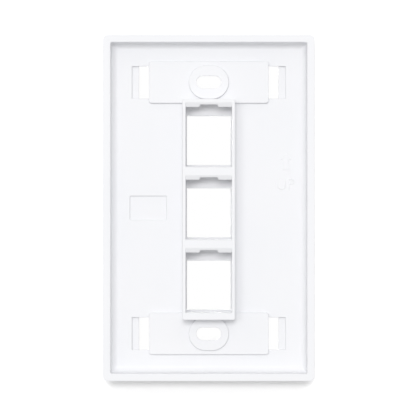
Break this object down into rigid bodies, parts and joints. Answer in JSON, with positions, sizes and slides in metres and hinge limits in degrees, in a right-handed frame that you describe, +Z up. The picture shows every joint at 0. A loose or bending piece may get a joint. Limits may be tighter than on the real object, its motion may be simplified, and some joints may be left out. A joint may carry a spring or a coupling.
{
  "type": "keystone faceplate",
  "caption": "Upright single-gang wall plate with a column of snap-in keystone ports, slotted box-screw holes and recessed label pockets.",
  "frame": {"origin": "centre of the plate in the plane of its rim, where it meets the wall, midway between the box screws", "axes": "+Y into the wall, +Z up along the column of ports, +X to the right seen from the room"},
  "size_m": [0.0698, 0.0098, 0.1142],
  "materials": {
    "white_plastic": "satin"
  },
  "bodies": {
    "root": {"faceplate": "white_plastic"}
  },
  "joints": []
}
